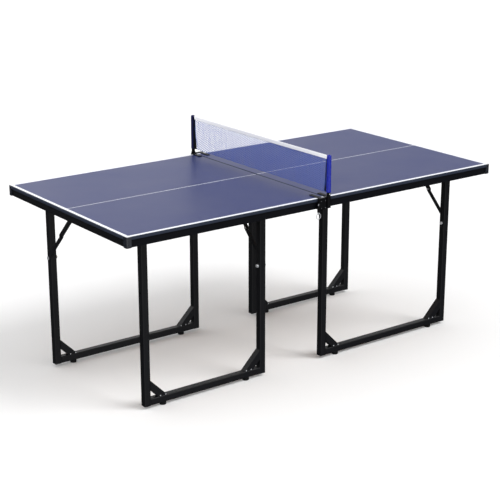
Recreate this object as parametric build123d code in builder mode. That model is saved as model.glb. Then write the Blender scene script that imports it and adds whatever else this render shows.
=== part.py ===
"""Mid-size folding ping pong table, in two square halves with a clamp-on net.

Frame of the model: X runs along the table, Y across it and Z up. The origin is on
the floor, below the middle of the seam between the two halves. Millimetres.

Each half is a blue board in an apron of black extruded rails. Under it, two U-shaped tube
frames stand on rubber feet. A frame turns inwards on two hinge brackets to fold
flat under its half, and a two-link brace keeps it upright. One frame of each half
is wide and the other narrow, so that they nest when both are folded. The left half
is the right half turned 180 degrees about Z, and so is the far net bracket.
"""

import os
from math import cos, radians, sqrt

from build123d import *

# ---- Driving dimensions ------------------------------------------------------

TABLE_LENGTH = 1825.0          # along X, over both halves
TABLE_WIDTH = 913.0            # along Y, over the apron's rounded lips
TABLE_HEIGHT = 760.0           # floor to playing surface
SEAM_GAP = 1.0                 # between the two halves

BOARD_THICK = 12.0
BOARD_FIT = 0.2                # between the board's edge and the lip
BOARD_EDGE_BREAK = 0.4
BOARD_REST = 0.2               # between the board's underside and the apron's top flange
APRON_BOTTOM = 718.0           # lowest edge of the apron
LIP_THICK = 3.3                # of the lip that shows around the board
LIP_DROP = 0.4                 # lip top below the playing surface
LIP_BOTTOM = 748.0             # where the bulged lip starts to step back
STEP_BACK = 5.0                # how far the lower web stands behind the lip
STEP_DROP = 4.0                # height of the sloping step
LIP_ROUND = 2.4                # rounding of the lip's outer edges
WEB_THICK = 2.0                # wall of the apron's web and flanges
TOE = 15.0                     # bottom flange, inwards from the web's face
CAP_SIZE = 21.0                # corner caps, each way along the edge
FLANGE_STOP = 0.5              # how far a top flange ends before the line of the caps
CAP_FIT = 0.2                  # what a cap stands back from the apron's outline
CAP_CORNER = 5.0
CAP_TOP_ROUND = 1.2

TUBE = 28.0                    # square steel tube of the U-frames
TUBE_WALL = 1.5
TUBE_CORNER = 3.0
WIDE_FRAME = (110.0, 832.0)    # outer faces of the wide frame's legs, along X
NARROW_FRAME = (182.0, 762.0)  # outer faces of the narrow frame's legs, along X
LEG_Y = 292.0                  # legs' distance from the table's centre line
FOOT_HEIGHT = 13.0             # rubber foot below the tube
PIVOT_Z = 722.0                # leg hinge axis
LEG_TOP = 738.0
GUSSET_HOLE = 36.0             # open corner inside the gusset, each way
GUSSET_WIDTH = 28.0            # across the sloping tube
GUSSET_STEP = 1.0              # how much slimmer the gusset is than the leg, along Y
OVERRUN = 2.0                  # how far a cut runs on past the face it opens
FOOT_FROM_LEG = 62.0           # foot centre from the leg's inner face
FOOT_RADIUS = 13.5
FOOT_ROUND = 2.0
PLUG_FIT = 0.05                # between a plug and the tube's inner walls
PLUG_CORNER = 1.4
PLUG_DEPTH = 12.0

BRACE_REACH = 247.0            # leg hinge to brace bolt, and leg hinge to brace pivot
LINK_THICK = 3.0
LOWER_LINK_WIDTH = 18.0
UPPER_LINK_WIDTH = 22.0

EAR_THICK = 2.5                # steel of the hinge brackets
EAR_RADIUS = 14.0
EAR_PLAY = 0.6                 # between a leg and the ears beside it
BRACKET_LENGTH = 62.0          # leg bracket's plate, along Y
BRACKET_CORNER = 3.0
BRACE_PLATE = (20.0, 44.0)     # brace bracket's plate, along X and Y

PIN_RADIUS = 4.0
PIN_HEAD_RADIUS = 6.5
PIN_HEAD = 2.0
BOLT_HEAD_RADIUS = 7.5
BOLT_HEAD_THICK = 2.2
NUT_RADIUS = 7.5
NUT_THICK = 6.5
BOLT_END = 1.5                 # thread that shows past the nut
KNUCKLE_HEAD_RADIUS = 6.5
KNUCKLE_HEAD = 1.4
KNUCKLE_BOSS_RADIUS = 7.0
KNUCKLE_BOSS = 1.8
STACK_GAP = 0.5                # between the layers of a brace
PLAY = 0.05                    # radial play of a pin that turns in its hole
SEAT = 0.02                    # radial gap where a pin sits fast in its hole
GAP = 0.3                      # between flat faces that move past each other

POST_Y = 470.0                 # net posts, out from the centre line
POST_RADIUS = 7.5
NET_BOTTOM = 783.0
NET_TOP = 929.0
TAPE_HEIGHT = 15.0
SLEEVE_RADIUS = 9.0
SLEEVE_FIT = 0.1               # between the sleeve and its post
SLEEVE_ROUND = 3.0
POST_ROUND = 4.0
MESH_THICK = 1.6
TAPE_THICK = 3.2

# ---- Sizes worked out from them ----------------------------------------------

HALF_WIDTH = TABLE_WIDTH / 2
SEAM_X = SEAM_GAP / 2
END_X = TABLE_LENGTH / 2
HALF_MID_X = (SEAM_X + END_X) / 2
HALF_LENGTH = END_X - SEAM_X
BOARD_BOTTOM = TABLE_HEIGHT - BOARD_THICK
LIP_TOP = TABLE_HEIGHT - LIP_DROP
APRON_TOP = BOARD_BOTTOM - BOARD_REST
BRACE_BOLT_Z = PIVOT_Z - BRACE_REACH
LINK_LENGTH = BRACE_REACH / sqrt(2)
KNUCKLE_DROP = BRACE_REACH / 2
POST_TOP = NET_TOP + 2
SLEEVE_TOP = NET_TOP + 4

# Stations outwards from the leg's face, across the two links of a brace.
LOWER_LINK_AT = GAP
BOLT_HEAD_AT = LOWER_LINK_AT + LINK_THICK
UPPER_LINK_AT = BOLT_HEAD_AT + BOLT_HEAD_THICK + STACK_GAP
BRACE_EAR_AT = UPPER_LINK_AT + LINK_THICK + STACK_GAP

FRAMES = {
    # name: (leg faces along X, side of the half, face that carries the brace, its outward sign)
    "wide": (WIDE_FRAME, -1, WIDE_FRAME[1], 1),
    "narrow": (NARROW_FRAME, 1, NARROW_FRAME[0], -1),
}
HALVES = {"right": 0, "left": 180}   # turn about Z, in degrees
FRAME_NAMES = {
    ("right", "wide"): "near_right",
    ("right", "narrow"): "far_right",
    ("left", "wide"): "far_left",
    ("left", "narrow"): "near_left",
}


# ---- Helpers -----------------------------------------------------------------

def save(piece, name, turn=0):
    """Turn a finished piece about Z, name it and write its STEP file."""
    placed = piece.rotate(Axis.Z, turn) if turn else piece
    placed.label = name
    export_step(placed, f"parts/{name}.step")


def across(start, end):
    """The YZ plane at the lower of two X stations, and the distance between them."""
    return Plane.YZ.offset(min(start, end)), abs(end - start)


# ---- One half of the table ---------------------------------------------------

def make_board():
    """The medium-density board, with its long edges just inside the lip."""
    inset = LIP_THICK + BOARD_FIT
    with BuildPart() as board:
        with BuildSketch(Plane.XY.offset(BOARD_BOTTOM)):
            with Locations((HALF_MID_X, 0)):
                Rectangle(HALF_LENGTH - 2 * inset, TABLE_WIDTH - 2 * inset)
        extrude(amount=BOARD_THICK)
        chamfer(board.edges().group_by(Axis.Z)[-1], BOARD_EDGE_BREAK)
    return board.part


def apron_section(face, inwards):
    """Closed outline of an apron rail: depths are measured inwards from its outer face."""
    web = STEP_BACK + WEB_THICK
    flange = CAP_SIZE - FLANGE_STOP
    outline = [
        (LIP_THICK, LIP_TOP),
        (0, LIP_TOP),
        (0, LIP_BOTTOM),
        (STEP_BACK, LIP_BOTTOM - STEP_DROP),
        (STEP_BACK, APRON_BOTTOM),
        (STEP_BACK + TOE, APRON_BOTTOM),
        (STEP_BACK + TOE, APRON_BOTTOM + WEB_THICK),
        (web, APRON_BOTTOM + WEB_THICK),
        (web, APRON_TOP - WEB_THICK),
        (flange, APRON_TOP - WEB_THICK),
        (flange, APRON_TOP),
        (LIP_THICK, APRON_TOP),
    ]
    return [(face + inwards * depth, z) for depth, z in outline]


def make_apron_rail(plane, length, face, inwards, along, across_axis):
    """One extruded rail: its outline on the plane, and its lip's two outer edges rounded."""
    with BuildPart() as rail:
        with BuildSketch(plane):
            with BuildLine():
                Polyline(*apron_section(face, inwards), close=True)
            make_face()
        extrude(amount=length)
        lip_edges = rail.edges().filter_by(along).filter_by_position(Axis.Z, LIP_BOTTOM - GAP, LIP_TOP)
        outer = lip_edges.sort_by(across_axis)
        fillet(outer[-2:] if inwards < 0 else outer[:2], LIP_ROUND)
    return rail.part


def make_apron_side(side):
    """A long apron rail, along X. side is -1 for the near side and 1 for the far side."""
    plane = Plane.YZ.offset(SEAM_X + CAP_SIZE)
    length = HALF_LENGTH - 2 * CAP_SIZE
    return make_apron_rail(plane, length, side * HALF_WIDTH, -side, Axis.X, Axis.Y)


def make_apron_end(face, inwards):
    """A short apron rail, along Y, at the seam or at the half's outer end."""
    length = TABLE_WIDTH - 2 * CAP_SIZE
    plane = Plane.XZ.offset(-length / 2)
    return make_apron_rail(plane, length, face, inwards, Axis.Y, Axis.X)


def make_corner_caps():
    """Moulded caps that close the apron's four corners. Each is notched for the board."""
    with BuildPart() as caps:
        for x_sign in (-1, 1):
            for y_sign in (-1, 1):
                corner_x = HALF_MID_X + x_sign * HALF_LENGTH / 2
                corner_y = y_sign * HALF_WIDTH
                centre = (corner_x - x_sign * CAP_SIZE / 2, corner_y - y_sign * CAP_SIZE / 2)
                with BuildSketch(Plane.XY.offset(APRON_BOTTOM)) as outline:
                    with Locations(centre):
                        Rectangle(CAP_SIZE - CAP_FIT, CAP_SIZE - CAP_FIT)
                    outward = Axis((0, 0, 0), (x_sign, y_sign, 0))
                    fillet(outline.vertices().sort_by(outward)[-1], CAP_CORNER)
                extrude(amount=LIP_TOP - APRON_BOTTOM)
        fillet(caps.edges().group_by(Axis.Z)[-1], CAP_TOP_ROUND)
        with BuildSketch(Plane.XY.offset(APRON_TOP)):
            with Locations((HALF_MID_X, 0)):
                Rectangle(HALF_LENGTH - 2 * LIP_THICK, TABLE_WIDTH - 2 * LIP_THICK)
        extrude(amount=BOARD_THICK * 2, mode=Mode.SUBTRACT)
    return caps.part


def leg_places(kind):
    """Leg centres (x, y) of one frame, in the right half."""
    (low_x, high_x), side, _, _ = FRAMES[kind]
    return [(low_x + TUBE / 2, side * LEG_Y), (high_x - TUBE / 2, side * LEG_Y)]


def brace_line(kind):
    """The face, outward sign, leg y, knuckle y and table pivot y of one frame's brace."""
    _, side, face, outward = FRAMES[kind]
    leg_y = side * LEG_Y
    return face, outward, leg_y, leg_y - side * KNUCKLE_DROP, leg_y - side * BRACE_REACH


def make_hinge_brackets():
    """Four bent U-brackets for the legs and two L-brackets for the braces, under the board."""
    ear_in = TUBE / 2 + EAR_PLAY
    plate_z = BOARD_BOTTOM - EAR_THICK
    with BuildPart() as brackets:
        for kind in FRAMES:
            for x, y in leg_places(kind):
                with BuildSketch(Plane.XY.offset(plate_z)):
                    with Locations((x, y)):
                        RectangleRounded(2 * (ear_in + EAR_THICK), BRACKET_LENGTH, BRACKET_CORNER)
                extrude(amount=EAR_THICK)
                for start in (x - ear_in - EAR_THICK, x + ear_in):
                    with BuildSketch(Plane.YZ.offset(start)):
                        with Locations((y, PIVOT_Z)):
                            Circle(EAR_RADIUS)
                        with Locations((y, (PIVOT_Z + plate_z) / 2)):
                            Rectangle(2 * EAR_RADIUS, plate_z - PIVOT_Z)
                        with Locations((y, PIVOT_Z)):
                            Circle(PIN_RADIUS + SEAT, mode=Mode.SUBTRACT)
                    extrude(amount=EAR_THICK)
            face, outward, _, _, pivot_y = brace_line(kind)
            ear_start = face + outward * BRACE_EAR_AT
            ear_end = ear_start + outward * EAR_THICK
            plate_mid = ear_start + outward * BRACE_PLATE[0] / 2
            with BuildSketch(Plane.XY.offset(plate_z)):
                with Locations((plate_mid, pivot_y)):
                    Rectangle(*BRACE_PLATE)
            extrude(amount=EAR_THICK)
            plane, thick = across(ear_start, ear_end)
            with BuildSketch(plane):
                with Locations((pivot_y, PIVOT_Z)):
                    Circle(EAR_RADIUS)
                with Locations((pivot_y, (PIVOT_Z + plate_z) / 2)):
                    Rectangle(2 * EAR_RADIUS, plate_z - PIVOT_Z)
                with Locations((pivot_y, PIVOT_Z)):
                    Circle(PIN_RADIUS + SEAT, mode=Mode.SUBTRACT)
            extrude(amount=thick)
    return brackets.part


def make_hinge_pins():
    """Headed pins: four through the leg hinges and two that carry the upper brace links."""
    reach = TUBE / 2 + EAR_PLAY + EAR_THICK
    with BuildPart() as pins:
        for kind in FRAMES:
            for x, y in leg_places(kind):
                with BuildSketch(Plane.YZ.offset(x - reach)):
                    with Locations((y, PIVOT_Z)):
                        Circle(PIN_RADIUS)
                extrude(amount=2 * reach)
                for start in (x - reach - PIN_HEAD, x + reach):
                    with BuildSketch(Plane.YZ.offset(start)):
                        with Locations((y, PIVOT_Z)):
                            Circle(PIN_HEAD_RADIUS)
                    extrude(amount=PIN_HEAD)
            face, outward, _, _, pivot_y = brace_line(kind)
            inner = face + outward * UPPER_LINK_AT
            outer = face + outward * (BRACE_EAR_AT + EAR_THICK)
            plane, length = across(inner, outer)
            with BuildSketch(plane):
                with Locations((pivot_y, PIVOT_Z)):
                    Circle(PIN_RADIUS)
            extrude(amount=length)
            plane, length = across(outer, outer + outward * PIN_HEAD)
            with BuildSketch(plane):
                with Locations((pivot_y, PIVOT_Z)):
                    Circle(PIN_HEAD_RADIUS)
            extrude(amount=length)
    return pins.part


# ---- One folding U-frame -----------------------------------------------------

def make_leg(x, y):
    """A square tube leg, drilled through along X for the hinge pin and the brace bolt."""
    with BuildPart() as leg:
        with BuildSketch(Plane.XY.offset(FOOT_HEIGHT)):
            with Locations((x, y)):
                RectangleRounded(TUBE, TUBE, TUBE_CORNER)
                inner = TUBE - 2 * TUBE_WALL
                RectangleRounded(inner, inner, TUBE_CORNER - TUBE_WALL, mode=Mode.SUBTRACT)
        extrude(amount=LEG_TOP - FOOT_HEIGHT)
        with BuildSketch(Plane.YZ.offset(x - TUBE)):
            with Locations((y, PIVOT_Z), (y, BRACE_BOLT_Z)):
                Circle(PIN_RADIUS + PLAY)
        extrude(amount=2 * TUBE, mode=Mode.SUBTRACT)
    return leg.part


def make_stretcher(kind):
    """The bottom tube between the two legs."""
    (low_x, high_x), side, _, _ = FRAMES[kind]
    start = low_x + TUBE
    with BuildPart() as stretcher:
        with BuildSketch(Plane.YZ.offset(start)):
            with Locations((side * LEG_Y, FOOT_HEIGHT + TUBE / 2)):
                RectangleRounded(TUBE, TUBE, TUBE_CORNER)
                inner = TUBE - 2 * TUBE_WALL
                RectangleRounded(inner, inner, TUBE_CORNER - TUBE_WALL, mode=Mode.SUBTRACT)
        extrude(amount=high_x - TUBE - start)
    return stretcher.part


def gusset_outline(corner_x, inwards, near_cut, far_cut, overrun):
    """Corners, in XZ, of the sloping band between two 45 degree lines across a lower corner."""
    floor_z = FOOT_HEIGHT + TUBE
    return [
        (corner_x - inwards * overrun, floor_z + near_cut + overrun),
        (corner_x - inwards * overrun, floor_z + far_cut + overrun),
        (corner_x + inwards * (far_cut + overrun), floor_z - overrun),
        (corner_x + inwards * (near_cut + overrun), floor_z - overrun),
    ]


def make_gussets(kind):
    """Two sloping tubes that stiffen the lower corners of a frame."""
    (low_x, high_x), side, _, _ = FRAMES[kind]
    band = GUSSET_WIDTH / cos(radians(45))
    wall = TUBE_WALL / cos(radians(45))
    near_cut, far_cut = GUSSET_HOLE, GUSSET_HOLE + band
    solid = (TUBE - GUSSET_STEP, near_cut, far_cut, 0, Mode.ADD)
    hollow = (TUBE - GUSSET_STEP - 2 * TUBE_WALL, near_cut + wall, far_cut - wall, OVERRUN, Mode.SUBTRACT)
    with BuildPart() as gussets:
        for depth, near_line, far_line, overrun, mode in (solid, hollow):
            for corner_x, inwards in ((low_x + TUBE, 1), (high_x - TUBE, -1)):
                corners = gusset_outline(corner_x, inwards, near_line, far_line, overrun)
                with BuildSketch(Plane.XZ.offset(-side * LEG_Y - depth / 2)):
                    with BuildLine():
                        Polyline(*corners, close=True)
                    make_face()
                extrude(amount=depth, mode=mode)
    return gussets.part


def make_feet(kind):
    """Two rubber feet under the stretcher and two plugs in the open leg ends."""
    (low_x, high_x), side, _, _ = FRAMES[kind]
    plug = TUBE - 2 * TUBE_WALL - 2 * PLUG_FIT
    low_foot = (low_x + TUBE + FOOT_FROM_LEG, side * LEG_Y)
    high_foot = (high_x - TUBE - FOOT_FROM_LEG, side * LEG_Y)
    with BuildPart() as feet:
        with BuildSketch():
            with Locations(low_foot, high_foot):
                Circle(FOOT_RADIUS)
        extrude(amount=FOOT_HEIGHT)
        fillet(feet.edges().group_by(Axis.Z)[0], FOOT_ROUND)
        with BuildSketch(Plane.XY.offset(FOOT_HEIGHT)):
            with Locations(*leg_places(kind)):
                RectangleRounded(plug, plug, PLUG_CORNER)
        extrude(amount=PLUG_DEPTH)
    return feet.part


# ---- One two-link brace ------------------------------------------------------

def make_link(kind, station, width, ends, bosses=()):
    """A flat bar between two (y, z) points, standing station away from the leg's face."""
    face, outward, _, _, _ = brace_line(kind)
    (y0, z0), (y1, z1) = ends
    plane, thick = across(face + outward * station, face + outward * (station + LINK_THICK))
    slope = Vector(y1 - y0, z1 - z0).get_angle(Vector(1, 0))
    if (z1 - z0) < 0:
        slope = -slope
    with BuildPart() as link:
        with BuildSketch(plane):
            with Locations(Location(((y0 + y1) / 2, (z0 + z1) / 2), slope)):
                SlotCenterToCenter(LINK_LENGTH, width)
            for hole_radius, centre in bosses:
                with Locations(centre):
                    Circle(hole_radius, mode=Mode.SUBTRACT)
        extrude(amount=thick)
    return link.part


def make_lower_link(kind):
    """The narrow link, bolted to the leg at its lower end."""
    _, _, leg_y, knuckle_y, _ = brace_line(kind)
    low = (leg_y, BRACE_BOLT_Z)
    high = (knuckle_y, PIVOT_Z - KNUCKLE_DROP)
    hole = PIN_RADIUS + SEAT
    return make_link(kind, LOWER_LINK_AT, LOWER_LINK_WIDTH, (low, high), ((hole, low), (hole, high)))


def make_upper_link(kind):
    """The wide link, hung from the bracket under the board, with its half of the knuckle rivet."""
    face, outward, _, knuckle_y, pivot_y = brace_line(kind)
    high = (pivot_y, PIVOT_Z)
    low = (knuckle_y, PIVOT_Z - KNUCKLE_DROP)
    bar = make_link(kind, UPPER_LINK_AT, UPPER_LINK_WIDTH, (high, low), ((PIN_RADIUS + PLAY, high),))
    outer = face + outward * (UPPER_LINK_AT + LINK_THICK)
    plane, length = across(outer, outer + outward * KNUCKLE_BOSS)
    with BuildPart() as link:
        add(bar)
        with BuildSketch(plane):
            with Locations(low):
                Circle(KNUCKLE_BOSS_RADIUS)
        extrude(amount=length)
    return link.part


def make_brace_fasteners(kind):
    """The bolt through the leg, its nut, and the lower link's half of the knuckle rivet."""
    face, outward, leg_y, knuckle_y, _ = brace_line(kind)
    nut_face = face - outward * (TUBE + GAP)
    nut_end = nut_face - outward * NUT_THICK
    head_face = face + outward * BOLT_HEAD_AT
    head_end = head_face + outward * BOLT_HEAD_THICK
    with BuildPart() as fasteners:
        plane, length = across(nut_end - outward * BOLT_END, head_face)
        with BuildSketch(plane):
            with Locations((leg_y, BRACE_BOLT_Z)):
                Circle(PIN_RADIUS)
        extrude(amount=length)
        plane, length = across(head_face, head_end)
        with BuildSketch(plane):
            with Locations((leg_y, BRACE_BOLT_Z)):
                Circle(BOLT_HEAD_RADIUS)
        extrude(amount=length)
        plane, length = across(nut_face, nut_end)
        with BuildSketch(plane):
            with Locations((leg_y, BRACE_BOLT_Z)):
                RegularPolygon(NUT_RADIUS, 6)
                Circle(PIN_RADIUS + SEAT, mode=Mode.SUBTRACT)
        extrude(amount=length)
        plane, length = across(face + outward * LOWER_LINK_AT, head_face)
        with BuildSketch(plane):
            with Locations((knuckle_y, PIVOT_Z - KNUCKLE_DROP)):
                Circle(PIN_RADIUS)
        extrude(amount=length)
        plane, length = across(head_face, head_face + outward * KNUCKLE_HEAD)
        with BuildSketch(plane):
            with Locations((knuckle_y, PIVOT_Z - KNUCKLE_DROP)):
                Circle(KNUCKLE_HEAD_RADIUS)
        extrude(amount=length)
    return fasteners.part


# ---- Net, posts and brackets -------------------------------------------------

PLATE_IN = HALF_WIDTH + 0.8            # bracket plate's inner face, out from the centre line
PLATE_OUT = PLATE_IN + 4.0
PLATE_BOTTOM = 716.0
STRAP_BOTTOM = TABLE_HEIGHT + 0.4
STRAP_THICK = 2.6
PLATE_TOP = STRAP_BOTTOM + STRAP_THICK
PLATE_X = (-44.0, 20.0)
HOUSING_X = (-44.0, -9.0)
HOUSING_OUT = 470.0
SOCKET_RADIUS = 9.5
SOCKET_Z = (724.0, 767.0)
POST_FOOT_Z = 730.0
PIN_X = -44.0
PIN_Y = 464.0
LOCK_PIN_RADIUS = 2.5
BOSS_RADIUS = 5.5
BOSS_Z = (707.0, 734.0)
EYE_Z = 702.0                          # centre of the eye that the ring hangs in
EYE_THICK = 4.0
EYE_RADIUS = 4.0
EYE_PLAY = 0.6                         # between the ring's wire and the eye
NECK = 5.0                             # width and height of the flat between pin and eye
PIN_LENGTH = 34.0
PIN_BORE = 44.0                        # depth of the bore that the lock pin and its spring share
RING_RADIUS = 11.2
RING_WIRE = 1.3
HOUSING_CORNER = 3.0
HOUSING_EDGE_BREAK = 1.0
HOUSING_RIVETS = [(x, z) for x in (-36.0, -15.0) for z in (723.0, 752.0)]
HOUSING_RIVET_RADIUS = 2.6
HOUSING_RIVET_HEAD = 1.2
STRAP_X = (-30.0, 12.0)
STRAP_WIDTH = 16.0
STRAP_IN = 396.0                       # inner end of the straps, out from the centre line
CLAMP_IN = 434.0                       # inner end of the flange below the apron
CLAMP_THICK = 3.0
CLAMP_MARGIN = 3.0                     # what the flange stands back from the plate's ends, on average
SOCKET_FLOOR = 0.3                     # below the post's foot


def make_net_bracket():
    """The near bracket: a riveted lock housing, a post socket, and two straps on the board."""
    plate_mid = sum(PLATE_X) / 2
    plate_length = PLATE_X[1] - PLATE_X[0]
    plate_height = PLATE_TOP - PLATE_BOTTOM
    middle_z = (PLATE_BOTTOM + PLATE_TOP) / 2
    with BuildPart() as bracket:
        with BuildSketch(Plane.XZ.offset(PLATE_IN)):
            with Locations((plate_mid, middle_z)):
                Rectangle(plate_length, plate_height)
        extrude(amount=PLATE_OUT - PLATE_IN)
        with BuildSketch(Plane.XZ.offset(PLATE_IN)):
            with Locations((sum(HOUSING_X) / 2, middle_z)):
                RectangleRounded(HOUSING_X[1] - HOUSING_X[0], plate_height, HOUSING_CORNER)
        extrude(amount=HOUSING_OUT - PLATE_IN)
        chamfer(bracket.faces().sort_by(Axis.Y)[0].edges(), HOUSING_EDGE_BREAK)
        with BuildSketch(Plane.XY.offset(SOCKET_Z[0])):
            with Locations((0, -POST_Y)):
                Circle(SOCKET_RADIUS)
        extrude(amount=SOCKET_Z[1] - SOCKET_Z[0])
        with BuildSketch(Plane.XY.offset(BOSS_Z[0])):
            with Locations((PIN_X, -PIN_Y)):
                Circle(BOSS_RADIUS)
        extrude(amount=BOSS_Z[1] - BOSS_Z[0])
        with BuildSketch(Plane.XY.offset(STRAP_BOTTOM)):
            with Locations(*[(x, -(STRAP_IN + PLATE_OUT) / 2) for x in STRAP_X]):
                Rectangle(STRAP_WIDTH, PLATE_OUT - STRAP_IN)
        extrude(amount=STRAP_THICK)
        with BuildSketch(Plane.XY.offset(PLATE_BOTTOM - CLAMP_THICK / 2)):
            with Locations((plate_mid + CLAMP_MARGIN, -(CLAMP_IN + PLATE_OUT) / 2)):
                Rectangle(plate_length - 2 * CLAMP_MARGIN, PLATE_OUT - CLAMP_IN)
        extrude(amount=CLAMP_THICK)
        with BuildSketch(Plane.XY.offset(POST_FOOT_Z - SOCKET_FLOOR)):
            with Locations((0, -POST_Y)):
                Circle(POST_RADIUS + PLAY)
        extrude(amount=SOCKET_Z[1] - POST_FOOT_Z + OVERRUN, mode=Mode.SUBTRACT)
        with BuildSketch(Plane.XY.offset(BOSS_Z[0])):
            with Locations((PIN_X, -PIN_Y)):
                Circle(LOCK_PIN_RADIUS + PLAY)
        extrude(amount=PIN_BORE, mode=Mode.SUBTRACT)
        with BuildSketch(Plane.XZ.offset(HOUSING_OUT)):
            with Locations(*HOUSING_RIVETS):
                Circle(HOUSING_RIVET_RADIUS)
        extrude(amount=HOUSING_RIVET_HEAD)
    return bracket.part


def make_lock_pin():
    """The spring pin that is pulled down to free the bracket, with the eye for its ring."""
    with BuildPart() as pin:
        with BuildSketch(Plane.XY.offset(BOSS_Z[0] - 1)):
            with Locations((PIN_X, -PIN_Y)):
                Circle(LOCK_PIN_RADIUS)
        extrude(amount=PIN_LENGTH)
        with BuildSketch(Plane.YZ.offset(PIN_X - EYE_THICK / 2)):
            with Locations((-PIN_Y, EYE_Z)):
                Circle(EYE_RADIUS)
            with Locations((-PIN_Y, EYE_Z + NECK / 2)):
                Rectangle(NECK, NECK)
            with Locations((-PIN_Y, EYE_Z)):
                Circle(RING_WIRE + EYE_PLAY, mode=Mode.SUBTRACT)
        extrude(amount=EYE_THICK)
    return pin.part


def make_pull_ring():
    """The wire ring that hangs in the lock pin's eye."""
    with BuildPart() as ring:
        with BuildSketch(Plane.XY.offset(EYE_Z - RING_RADIUS)):
            with Locations((PIN_X + RING_RADIUS, -PIN_Y)):
                Circle(RING_WIRE)
        axis = Axis((PIN_X, -PIN_Y, EYE_Z - RING_RADIUS), (0, 1, 0))
        revolve(axis=axis, revolution_arc=360)
    return ring.part


def make_post(side):
    """A round steel post with a domed top, that drops into its bracket's socket."""
    with BuildPart() as post:
        with BuildSketch(Plane.XY.offset(POST_FOOT_Z)):
            with Locations((0, side * POST_Y)):
                Circle(POST_RADIUS)
        extrude(amount=POST_TOP - POST_FOOT_Z)
        fillet(post.edges().group_by(Axis.Z)[-1], POST_ROUND)
    return post.part


def make_sleeve(side):
    """The fabric sleeve sewn to the net's end, closed at the top."""
    with BuildPart() as sleeve:
        with BuildSketch(Plane.XY.offset(NET_BOTTOM)):
            with Locations((0, side * POST_Y)):
                Circle(SLEEVE_RADIUS)
        extrude(amount=SLEEVE_TOP - NET_BOTTOM)
        fillet(sleeve.edges().group_by(Axis.Z)[-1], SLEEVE_ROUND)
        with BuildSketch(Plane.XY.offset(NET_BOTTOM)):
            with Locations((0, side * POST_Y)):
                Circle(POST_RADIUS + SLEEVE_FIT)
        extrude(amount=POST_TOP + GAP - NET_BOTTOM, mode=Mode.SUBTRACT)
    return sleeve.part


def make_net_sheet(bottom, top, thick):
    """A plain sheet between the two sleeves, for the mesh or for the tape above it."""
    reach = POST_Y - SLEEVE_RADIUS - GAP
    with BuildPart() as sheet:
        with BuildSketch(Plane.XY.offset(bottom)):
            Rectangle(thick, 2 * reach)
        extrude(amount=top - bottom)
    return sheet.part


# ---- Build and write every piece ---------------------------------------------

os.makedirs("parts", exist_ok=True)

for half, turn in HALVES.items():
    near, far = ("near", "far") if turn == 0 else ("far", "near")
    save(make_board(), f"{half}_board", turn)
    save(make_apron_side(-1), f"{half}_apron_{near}", turn)
    save(make_apron_side(1), f"{half}_apron_{far}", turn)
    save(make_apron_end(SEAM_X, 1), f"{half}_apron_seam", turn)
    save(make_apron_end(END_X, -1), f"{half}_apron_end", turn)
    save(make_corner_caps(), f"{half}_corner_caps", turn)
    save(make_hinge_brackets(), f"{half}_hinge_brackets", turn)
    save(make_hinge_pins(), f"{half}_hinge_pins", turn)
    for kind in FRAMES:
        frame_name = FRAME_NAMES[half, kind]
        inner_place, outer_place = leg_places(kind)
        save(make_leg(*inner_place), f"{frame_name}_inner_leg", turn)
        save(make_leg(*outer_place), f"{frame_name}_outer_leg", turn)
        save(make_stretcher(kind), f"{frame_name}_stretcher", turn)
        save(make_gussets(kind), f"{frame_name}_gussets", turn)
        save(make_feet(kind), f"{frame_name}_feet", turn)
        save(make_lower_link(kind), f"{frame_name}_lower_link", turn)
        save(make_upper_link(kind), f"{frame_name}_upper_link", turn)
        save(make_brace_fasteners(kind), f"{frame_name}_brace_fasteners", turn)

for side_name, turn, side in (("near", 0, -1), ("far", 180, 1)):
    save(make_net_bracket(), f"{side_name}_net_bracket", turn)
    save(make_lock_pin(), f"{side_name}_lock_pin", turn)
    save(make_pull_ring(), f"{side_name}_pull_ring", turn)
    save(make_post(side), f"{side_name}_net_post")
    save(make_sleeve(side), f"{side_name}_net_sleeve")

save(make_net_sheet(NET_BOTTOM, NET_TOP - TAPE_HEIGHT, MESH_THICK), "net_mesh")
save(make_net_sheet(NET_TOP - TAPE_HEIGHT, NET_TOP, TAPE_THICK), "net_tape")
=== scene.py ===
# %% [markdown]
# # A folding ping pong table, finished around its frame
#
# The table is two boards edged with black rails, four tube frames that fold under
# them, braces that lock the frames, and a net that drops into two clamps. All the
# hard parts come from the CAD model at their true size, and their meshes stay as
# they are. This script gives them their finishes, adds the small fasteners that
# are easier to turn here, and makes what is soft: net, tape and sleeves.
#

# %% Load the frame
import math

import bmesh
import bpy
from mathutils import Matrix, Vector, noise


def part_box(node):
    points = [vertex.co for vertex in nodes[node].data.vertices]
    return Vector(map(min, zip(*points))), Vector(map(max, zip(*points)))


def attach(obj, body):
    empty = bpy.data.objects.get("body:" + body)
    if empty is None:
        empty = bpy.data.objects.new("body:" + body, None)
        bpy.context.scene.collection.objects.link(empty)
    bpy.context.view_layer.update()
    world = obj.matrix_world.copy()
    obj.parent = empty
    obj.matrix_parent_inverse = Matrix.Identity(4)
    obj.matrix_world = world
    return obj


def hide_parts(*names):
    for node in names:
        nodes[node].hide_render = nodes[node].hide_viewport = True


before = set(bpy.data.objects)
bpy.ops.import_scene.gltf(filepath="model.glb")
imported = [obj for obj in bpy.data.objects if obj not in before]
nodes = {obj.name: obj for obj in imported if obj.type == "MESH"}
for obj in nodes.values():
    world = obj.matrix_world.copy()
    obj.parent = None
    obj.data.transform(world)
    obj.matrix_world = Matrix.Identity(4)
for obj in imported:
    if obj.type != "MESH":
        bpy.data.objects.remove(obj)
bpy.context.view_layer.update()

MM = 0.001
FRAMES = ("near_left", "near_right", "far_left", "far_right")

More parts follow.
